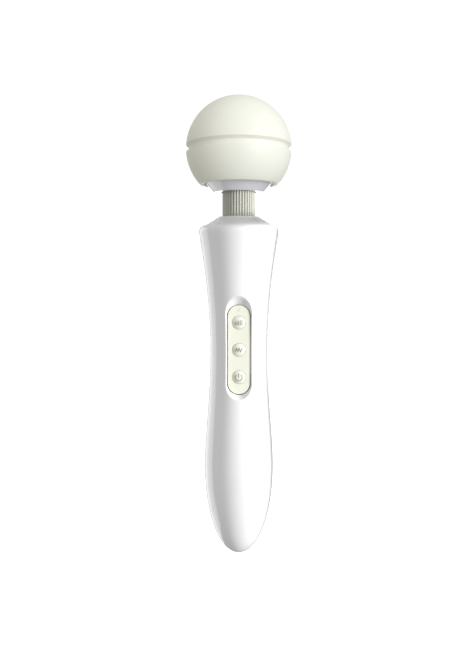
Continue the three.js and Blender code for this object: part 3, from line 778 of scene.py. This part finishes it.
def flat_plate(name, outline, holes, front, back, edge, material):
    """A plate from its outline and its round holes, with every front edge rounded."""
    work = bmesh.new()
    rims = {"front": [], "back": []}
    for track, way, round_off in [(outline, -1, edge)] + [(hole, 1, 0.1) for hole in holes]:
        rings = []
        for inset, y in rounded_edge(round_off, front, back):
            loop = track.grown(way * inset).outline(32)
            rings.append([work.verts.new((x * MM, y * MM, z * MM)) for x, z in loop])
        for low, high in zip(rings, rings[1:]):
            for i in range(len(low)):
                work.faces.new((low[i - 1], low[i], high[i], high[i - 1]))
        for side, ring in (("back", rings[0]), ("front", rings[-1])):
            rims[side] += [work.edges.get((a, b)) for a, b in zip(ring, ring[1:] + ring[:1])]
    for edges in rims.values():
        bmesh.ops.triangle_fill(work, use_beauty=True, use_dissolve=False, edges=edges, normal=(0, -1, 0))
    mesh = bpy.data.meshes.new(name)
    work.to_mesh(mesh)
    work.free()
    mesh.materials.append(material)
    made = close_and_face_out(placed(name, mesh))
    made.data.set_sharp_from_angle(angle=math.radians(40))
    return made


KEYS = ("intensity", "mode", "power")
KEY_R = 3.88
KEY_HOLE_R = 4.02
LED_HOLE_R = 0.78
LED_Z = sum(span("led_light_pipe", Z)) / 2


def key_centre(key):
    return sum(span(f"{key}_button", Z)) / 2


def crown(key, x, z):
    """The height of a key's dome over its edge at (x, z) from its centre, as y."""
    top = span(f"{key}_button", Y)[0]
    rise = PANEL_FRONT - 0.05 - top
    ball = (KEY_R**2 + rise**2) / (2 * rise)
    return top + ball - math.sqrt(ball**2 - x**2 - z**2)


def key_cap(key, material):
    """A domed key with a skirt, a flange behind the panel and a stem."""
    back = span(f"{key}_button", Y)[1]
    dome = [(KEY_R * k / 16, crown(key, KEY_R * k / 16, 0)) for k in range(16)]
    rim = filleted([
        (KEY_R * 15 / 16, dome[-1][1], 0), (KEY_R, PANEL_FRONT - 0.05, 0.12), (KEY_R, PANEL_BACK, 0),
    ], 4)
    flange = PANEL_BACK + 0.3
    behind = [(5.1, flange), (5.1, flange + 0.7), (1.7, flange + 0.7), (1.7, back), (0, back)]
    profile = dome + rim[1:-1] + [(KEY_R, flange)] + behind
    cap = turned_about_y(f"{key}_cap", profile, 0, key_centre(key), material)
    cap.data.set_sharp_from_angle(angle=math.radians(50))
    return cap


def arc(r, start, end, steps=28):
    angles = [math.radians(start + (end - start) * k / steps) for k in range(steps + 1)]
    return [(r * math.sin(a), r * math.cos(a)) for a in angles]


def between(a, b, steps=8):
    return [(a[0] + (b[0] - a[0]) * k / steps, a[1] + (b[1] - a[1]) * k / steps) for k in range(steps + 1)]


SYMBOLS = {
    "intensity": [between((x, -1.3), (x, top)) for x, top in
                  ((-1.9, 0.45), (-0.95, 0.9), (0.0, 1.2), (0.95, 1.4), (1.9, 1.5))],
    "mode": [sum((between(a, b) for a, b in zip(peaks, peaks[1:])), []) for peaks in
             [[(-2.0, -1.0), (-1.2, 1.2), (-0.5, -0.8), (0.25, 1.3), (1.0, -1.1), (2.1, 1.4)]]],
    "power": [arc(1.95, 38, 322), between((0, 0.1), (0, 2.3))],
}
SYMBOL_LINE_R = 0.21


def key_symbol(key, tree):
    """A key's raised symbol, a rounded line half sunk in the dome."""
    z0 = key_centre(key)
    lines = [[(x, crown(key, x, z) + 0.02, z0 + z) for x, z in line] for line in SYMBOLS[key]]
    # The symbols' dark grey finish is painted shade along the raised lines.
    sizes = {"Radius": SYMBOL_LINE_R * MM, "Material": FINISHES["symbol_painted_shade"]}
    return grown(tree, f"{key}_symbol", sizes, polyline(f"{key}_symbol", lines))


def light_window(material):
    front = PANEL_FRONT + 0.02
    r = LED_HOLE_R - 0.03
    profile = filleted([(0, front, 0), (r, front, 0.15), (r, -8.3, 0), (0, -8.3, 0)], 4)
    return turned_about_y("light_window", profile, 0, LED_Z, material, 32)


def make_panel_and_keys():
    ivory = FINISHES["panel_ivory"]
    holes = [circle(KEY_HOLE_R, 0, key_centre(key)) for key in KEYS] + [circle(LED_HOLE_R, 0, LED_Z)]
    step = PANEL_FRONT + 1.2
    plate = flat_plate("plate", PANEL, holes, PANEL_FRONT, step + 0.1, 0.25, ivory)
    ledge = flat_plate("ledge", LEDGE, holes, step, PANEL_BACK, 0.1, ivory)
    panel = joined("panel_plate", plate, ledge)
    show(panel, "handle", "panel_ivory", "button_panel")
    show(light_window(FINISHES["clear_lens"]), "handle", "clear_lens", "led_light_pipe")
    line = swept_line_tree()
    for key in KEYS:
        # The caps take the darker ivory, painted shade on the domes.
        show(key_cap(key, FINISHES["key_ivory_painted_shade"]), f"{key}_key", "panel_ivory", f"{key}_button")
        show(key_symbol(key, line), f"{key}_key", "panel_ivory")


def show(made, body, slot, *stands_for):
    """Puts a piece on its body and hides the CAD nodes it stands for. The slot is not used."""
    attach(made, body)
    if stands_for:
        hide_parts(*stands_for)


# ---------------------------------------------------------------- handle


def make_handle():
    white = FINISHES["case_white"]
    front = half_shell("front_shell", -1, [(OPENING, 5.2, recessed_skin, 34)], white)
    show(front, "handle", "case_white", "handle_shell_front")
    pad = (circle(PAD_HOLE_R, 0, PAD_Z), 2.2, case_skin, 8)
    plugs, cuts = {}, [pad]
    for place in ("upper_left", "upper_right", "lower"):
        x = sum(span(f"case_screw_{place}", X)) / 2
        z = sum(span(f"case_screw_{place}", Z)) / 2
        plugs[place] = (x, z)
        cuts.append((circle(PLUG_HOLE_R, -x, z), 1.6, case_skin, 6))
    rear = half_shell("rear_shell", 1, cuts, white)
    show(rear, "handle", "case_white", "handle_shell_rear")
    for place, (x, z) in plugs.items():
        show(plug_cap(f"plug_{place}", x, z, white), "handle", "case_white", f"screw_plug_{place}")


def make_charging_pad():
    """A flat round pad in a pocket of the rear shell, with a raised ring and two sprung contacts."""
    satin = FINISHES["inner_white"]
    rim = filleted([
        (1.0, PAD_FACE, 0), (5.0, PAD_FACE, 0.2), (5.2, PAD_FACE - 0.3, 0.2), (5.7, PAD_FACE - 0.3, 0.2),
        (5.9, PAD_FACE, 0.2), (PAD_R, PAD_FACE, 0.3), (PAD_R, 15, 0), (8, 15, 0), (8, 13.6, 0), (0, 13.6, 0),
    ], 4)
    disc = turned_about_y("charging_pad", [(0, PAD_FACE)] + rim, 0, PAD_Z, satin)
    disc.data.set_sharp_from_angle(angle=math.radians(50))
    show(disc, "handle", "inner_white", "charge_pad")
    for pole in ("positive", "negative"):
        node = f"charge_contact_{pole}"
        x = sum(span(node, X)) / 2
        back = span(node, Y)[0]
        head = filleted([
            (0, PAD_FACE + 0.22, 0), (0.8, PAD_FACE + 0.2, 0.3), (1.2, PAD_FACE - 0.1, 0.3),
            (1.2, back, 0), (0, back, 0),
        ], 4)
        pin = turned_about_y(f"contact_{pole}", head, x, PAD_Z, FINISHES["gold_contact"], 32)
        seat = filleted([
            (1.3, PAD_FACE - 0.2, 0), (1.3, PAD_FACE + 0.06, 0.05), (1.75, PAD_FACE + 0.06, 0.05),
            (1.75, PAD_FACE - 0.2, 0), (1.3, PAD_FACE - 0.2, 0),
        ], 3)
        collar = turned_about_y(f"contact_seat_{pole}", seat, x, PAD_Z, FINISHES["gold_contact"], 32)
        show(pin, "handle", "gold_contact", node)
        show(collar, "handle", "gold_contact")


# ---------------------------------------------------------------- neck


def split_bend(lower, upper, slot_name, *stands_for):
    """Bakes a neck piece's two halves in place, and hides the CAD nodes they stand for."""
    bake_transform(lower)
    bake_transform(upper)
    for half in (lower, upper):
        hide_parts(*stands_for)


def neck_flange(low, material):
    high = low + FLANGE_THICK
    profile = filleted([(7.6, low, 0), (13.4, low, 0.4), (13.4, high, 0.4), (7.6, high, 0), (7.6, low, 0)], 4)
    return turned("flange", profile, material, 96)


def make_neck():
    # The neck's darker ivory is painted shade between the head and the shoulder.
    ivory = FINISHES["silicone_neck_painted_shade"]
    ribbed = ribbed_tube_tree()
    halves = []
    for name, low, high, flange_low in (
        ("sleeve_lower", NECK_LOW + 1, SPLIT_Z, NECK_LOW),
        ("sleeve_upper", SPLIT_Z, NECK_HIGH - 1, NECK_HIGH - FLANGE_THICK),
    ):
        sizes = {"Radius": NECK_R * MM, "Groove": 0.75 * MM, "Ribs": 36, "Low": low * MM, "High": high * MM,
                 "Material": ivory}
        tube = grown(ribbed, name, sizes)
        tube.modifiers.new("wall", "SOLIDIFY").thickness = 1.6 * MM
        apply_modifiers(tube, 60)
        halves.append(joined(name, tube, neck_flange(flange_low, ivory)))
    split_bend(*halves, "silicone_ivory", "neck_sleeve")
    coil = coil_tree()
    low, high = span("neck_spring", Z)
    wire = 0.7
    turns_below = SPRING_TURNS * (SPLIT_Z - low) / (high - low)
    halves = []
    for name, a, b, turns in (
        ("spring_lower", low + wire, SPLIT_Z, turns_below),
        ("spring_upper", SPLIT_Z, high - wire, SPRING_TURNS - turns_below),
    ):
        sizes = {"Radius": 6.6 * MM, "Wire": wire * MM, "Turns": turns, "Low": a * MM, "High": b * MM,
                 "Material": FINISHES["screw_steel"]}
        halves.append(grown(coil, name, sizes))
    split_bend(*halves, "screw_steel", "neck_spring")


def through(points, steps=8):
    """A smooth line through points."""
    line, p = [], [np.array(q, float) for q in points]
    ends = [2 * p[0] - p[1], *p, 2 * p[-1] - p[-2]]
    for a, b, c, d in zip(ends, ends[1:], ends[2:], ends[3:]):
        for k in range(steps):
            t = k / steps
            square, cube = 2 * a - 5 * b + 4 * c - d, 3 * b - 3 * c + d - a
            line.append(0.5 * (2 * b + (c - a) * t + square * t**2 + cube * t**3))
    return line + [p[-1]]


def make_motor_leads():
    """Two leads from the board, up through the middle of the neck's spring, to the motor."""
    line = swept_line_tree()
    for pole, side, finish in (("positive", 1, "red_wire"), ("negative", -1, "black_wire")):
        below = [
            (side * 2, -2.1, 35.6), (side * 2.2, -1.2, 39), (side * 2, -0.6, 46), (side * 1.9, 0, 60),
            (side * 1.9, 0, 74), (side * 1.9, 0, 82), (side * 1.9, 0, SPLIT_Z),
        ]
        above = [
            (side * 1.9, 0, SPLIT_Z), (side * 1.9, 0, 97), (side * 1.9, 0, 104.4), (side * 2.6, 0, 106.1),
            (side * 4.8, 0, 107.1),
        ]
        sizes = {"Radius": 0.65 * MM, "Material": FINISHES[finish]}
        halves = [
            grown(line, f"motor_lead_{pole}_{part}", sizes, polyline(part, [through(points)]))
            for part, points in (("lower", below), ("upper", above))
        ]
        split_bend(*halves, finish, f"motor_lead_{pole}")


# ---------------------------------------------------------------- head


def make_head_cover():
    """The soft ball: a groove under the dome's edge, and a lip that hooks under the shell."""
    inner = HEAD_R - 2.35
    above, below, land = 2.15, 2.3, 3.4  # from the ball's middle to the groove's edges and to plain ball
    groove = filleted([
        (math.sqrt(HEAD_R**2 - land**2), HEAD_Z - land, 0),
        (math.sqrt(HEAD_R**2 - below**2), HEAD_Z - below, 0.12), (30.1, HEAD_Z - below, 0.1),
        (30.4, HEAD_Z + 0.5, 1.2), (math.sqrt(HEAD_R**2 - above**2), HEAD_Z + above, 0.3),
        (math.sqrt(HEAD_R**2 - land**2), HEAD_Z + land, 0),
    ], 6)
    lip = filleted([
        (LIP_R, LIP_HIGH, 0), (LIP_R, LIP_LOW, 0.45), (23.6, LIP_LOW, 1.3), (25.2, BALL_FOOT, 0),
    ], 6)
    profile = lip[:-1] + ball_arc(HEAD_R, BALL_FOOT, HEAD_Z - land) + groove[1:-1]
    profile += ball_arc(HEAD_R, HEAD_Z + land, HEAD_Z + HEAD_R)
    profile += ball_arc(inner, LIP_HIGH, HEAD_Z + inner)[::-1] + [(LIP_R, LIP_HIGH)]
    cover = turned("ball_cover", profile, FINISHES["silicone_ivory"], 192)
    cover.data.set_sharp_from_angle(angle=math.radians(60))
    show(cover, "head", "silicone_ivory", "head_cover")


def make_dish():
    """The hard lower shell: the glossy dish that shows under the ball, and the bowl inside it."""
    shell = HEAD_R - 2.5
    bowl_foot = 19.2  # how far under the ball's middle the bowl begins
    rim_z = HEAD_Z - 0.15
    floor_z = DISH_Z + CASE_WALL
    under = filleted([
        (NECK_HOLE_R, floor_z, 0), (NECK_HOLE_R, DISH_Z, 0.4), (15.3, DISH_Z, 0.45),
        (LIP_R - 0.45, 103.5, 0.3), (23.0, 103.9, 0.5),
        (math.sqrt(shell**2 - bowl_foot**2), HEAD_Z - bowl_foot, 0),
    ], 6)
    inner = shell - CASE_WALL
    profile = under[:-1] + ball_arc(shell, HEAD_Z - bowl_foot, rim_z)
    profile += ball_arc(inner, 105.6, rim_z)[::-1]
    profile += [(17.5, 104.6), (14.2, floor_z), (NECK_HOLE_R, floor_z)]
    # The dish's darker white is painted shade under the ball.
    dish = turned("dish", profile, FINISHES["shell_white_painted_shade"], 128)
    dish.data.set_sharp_from_angle(angle=math.radians(50))
    show(dish, "head", "case_white", "head_shell_lower")


# ---------------------------------------------------------------- studio


def glow_material(name, colour, strength):
    material = bpy.data.materials.new(name)
    material.use_nodes = True
    tree = material.node_tree
    tree.nodes.clear()
    glow = tree.nodes.new("ShaderNodeEmission")
    glow.inputs["Color"].default_value = (*colour, 1)
    glow.inputs["Strength"].default_value = strength
    tree.links.new(glow.outputs[0], tree.nodes.new("ShaderNodeOutputMaterial").inputs["Surface"])
    return material


def pale_floor_material():
    material = bpy.data.materials.new("pale floor")
    material.use_nodes = True
    surface = material.node_tree.nodes["Principled BSDF"]
    surface.inputs["Base Color"].default_value = (0.86, 0.86, 0.86, 1)
    surface.inputs["Roughness"].default_value = 0.9
    surface.inputs["Emission Color"].default_value = (1, 1, 1, 1)
    surface.inputs["Emission Strength"].default_value = 0.66
    return material


def round_the_wand(azimuth, elevation, distance, target=(0, 0, 0.02)):
    """A place round the wand. Azimuth 0 is in front of the panel, and 90 is at its right."""
    a, e = math.radians(azimuth), math.radians(elevation)
    out = Vector((math.sin(a) * math.cos(e), -math.cos(a) * math.cos(e), math.sin(e)))
    return Vector(target) + distance * out


def faces(place, target):
    return (Vector(target) - Vector(place)).to_track_quat("-Z", "Y").to_euler()


def soft_light(name, azimuth, elevation, distance, width, height, power, colour=(1, 1, 1)):
    """A rectangular soft box that faces the wand."""
    light = bpy.data.lights.new(name, "AREA")
    light.shape = "RECTANGLE"
    light.size = width
    light.size_y = height
    light.energy = power
    light.color = colour
    lamp = bpy.data.objects.new(name, light)
    lamp.location = round_the_wand(azimuth, elevation, distance)
    lamp.rotation_euler = faces(lamp.location, (0, 0, 0.02))
    bpy.context.scene.collection.objects.link(lamp)
    return lamp


def light_only(lamp, pieces, state="INCLUDE"):
    """Lets a lamp light only these pieces, or with EXCLUDE, all but these."""
    lit = bpy.data.collections.new(f"{lamp.name} pieces")
    for made in pieces:
        lit.objects.link(made)
    lamp.light_linking.receiver_collection = lit
    for row in lit.collection_objects:
        row.light_linking.link_state = state


def flag(name, azimuth, distance, near, far, low, high):
    """A card that keeps the light at that azimuth off part of the wand, from near to far across the light."""
    material = bpy.data.materials.new(name)
    material.use_nodes = True
    surface = material.node_tree.nodes["Principled BSDF"]
    surface.inputs["Base Color"].default_value = (0.6, 0.6, 0.6, 1)
    surface.inputs["Roughness"].default_value = 0.9
    a = math.radians(azimuth)
    out = Vector((math.sin(a), -math.cos(a), 0))
    across = Vector((math.cos(a), math.sin(a), 0))
    edges = ((near, low), (far, low), (far, high), (near, high))
    corners = [out * distance + across * u + Vector((0, 0, z)) for u, z in edges]
    mesh = bpy.data.meshes.new(name)
    mesh.from_pydata([c * MM for c in corners], [], [(0, 1, 2, 3)])
    mesh.materials.append(material)
    card = bpy.data.objects.new(name, mesh)
    bpy.context.scene.collection.objects.link(card)
    card.visible_camera = False
    card.visible_glossy = False


def studio_air(level, top, bottom, dark_azimuth, dark):
    """Even light from all round: a little more from above than from below, and less from one dark side."""
    world = bpy.data.worlds.new("studio air")
    bpy.context.scene.world = world
    world.use_nodes = True
    tree = world.node_tree
    background = tree.nodes["Background"]
    background.inputs["Color"].default_value = (1, 1, 1, 1)
    towards = tree.nodes.new("ShaderNodeSeparateXYZ")
    direction = tree.nodes.new("ShaderNodeTexCoord").outputs["Generated"]
    tree.links.new(direction, towards.inputs[0])
    fade = tree.nodes.new("ShaderNodeMapRange")
    fade_range = {"From Min": -1, "From Max": 1, "To Min": level * bottom, "To Max": level * top}
    for name, number in fade_range.items():
        fade.inputs[name].default_value = number
    tree.links.new(towards.outputs["Z"], fade.inputs["Value"])
    facing = tree.nodes.new("ShaderNodeVectorMath")
    facing.operation = "DOT_PRODUCT"
    facing.inputs[1].default_value = round_the_wand(dark_azimuth, 0, 1, (0, 0, 0))
    tree.links.new(direction, facing.inputs[0])
    screen = tree.nodes.new("ShaderNodeMapRange")
    for name, number in (("From Min", 0), ("From Max", 1), ("To Min", 1), ("To Max", dark)):
        screen.inputs[name].default_value = number
    tree.links.new(facing.outputs["Value"], screen.inputs["Value"])
    air = tree.nodes.new("ShaderNodeMath")
    air.operation = "MULTIPLY"
    tree.links.new(fade.outputs["Result"], air.inputs[0])
    tree.links.new(screen.outputs["Result"], air.inputs[1])
    tree.links.new(air.outputs[0], background.inputs["Strength"])


def make_studio():
    scene = bpy.context.scene
    scene.view_settings.view_transform = "Standard"
    studio_air(0.61, 1.3, 0.6, 120, 0.75)
    floor_z = cad_box[0][2] - 0.03
    half = 3.0
    mesh = bpy.data.meshes.new("floor")
    corners = ((-half, -half), (half, -half), (half, half), (-half, half))
    mesh.from_pydata([(x, y, floor_z) for x, y in corners], [], [(0, 1, 2, 3)])
    mesh.materials.append(pale_floor_material())
    floor = bpy.data.objects.new("floor", mesh)
    scene.collection.objects.link(floor)
    bpy.ops.mesh.primitive_uv_sphere_add(segments=64, ring_count=32, radius=2.9)
    backdrop = bpy.context.object
    backdrop.name = "backdrop"
    backdrop.data.materials.append(glow_material("white backdrop", (1, 1, 1), 1.05))
    for ray in ("diffuse", "glossy", "transmission", "volume_scatter", "shadow"):
        setattr(backdrop, f"visible_{ray}", False)
        setattr(floor, f"visible_{ray}", False)
    key_azimuth = 63
    key = soft_light("key", key_azimuth, 5, 1.1, 0.3, 0.26, 15.8)
    head_key = soft_light("head key", 41, 9, 1.1, 0.7, 0.7, 9.6, (0.955, 0.965, 1.06))
    ball = [bpy.data.objects["ball_cover"]]
    front_lit = ball + [bpy.data.objects[name] for name in ("dish", "panel_plate", "light_window")]
    light_only(head_key, front_lit)
    light_only(key, front_lit, "EXCLUDE")
    rim = soft_light("left rim", -125, -12, 0.8, 0.75, 1.3, 4.6)
    rim.visible_diffuse = False
    light_only(rim, ball, "EXCLUDE")
    soft_light("back fill", 178, 6, 1.3, 0.9, 0.9, 4.0)
    flag("handle_flag", key_azimuth, 45, 2.2, 45, -140, 86)
    flag("shoulder_flag", key_azimuth, 34, -60, 60, 77.8, 84.3)


def make_camera():
    """Level with the shoulder of the handle, close enough for the perspective of a hand-held view."""
    scene = bpy.context.scene
    lens = bpy.data.cameras.new("camera")
    lens.sensor_width = 36
    lens.lens = 33.8
    lens.shift_x = -0.0098
    lens.shift_y = -0.0935
    lens.clip_start = 0.01
    camera = bpy.data.objects.new("camera", lens)
    camera.location = (0, -0.370, 0.055)
    camera.rotation_euler = (math.radians(90), 0, 0)
    scene.collection.objects.link(camera)
    scene.camera = camera


make_camera()
finish_frame_nodes()
make_handle()
make_panel_and_keys()
make_charging_pad()
make_neck()
make_motor_leads()
make_head_cover()
make_dish()
make_studio()
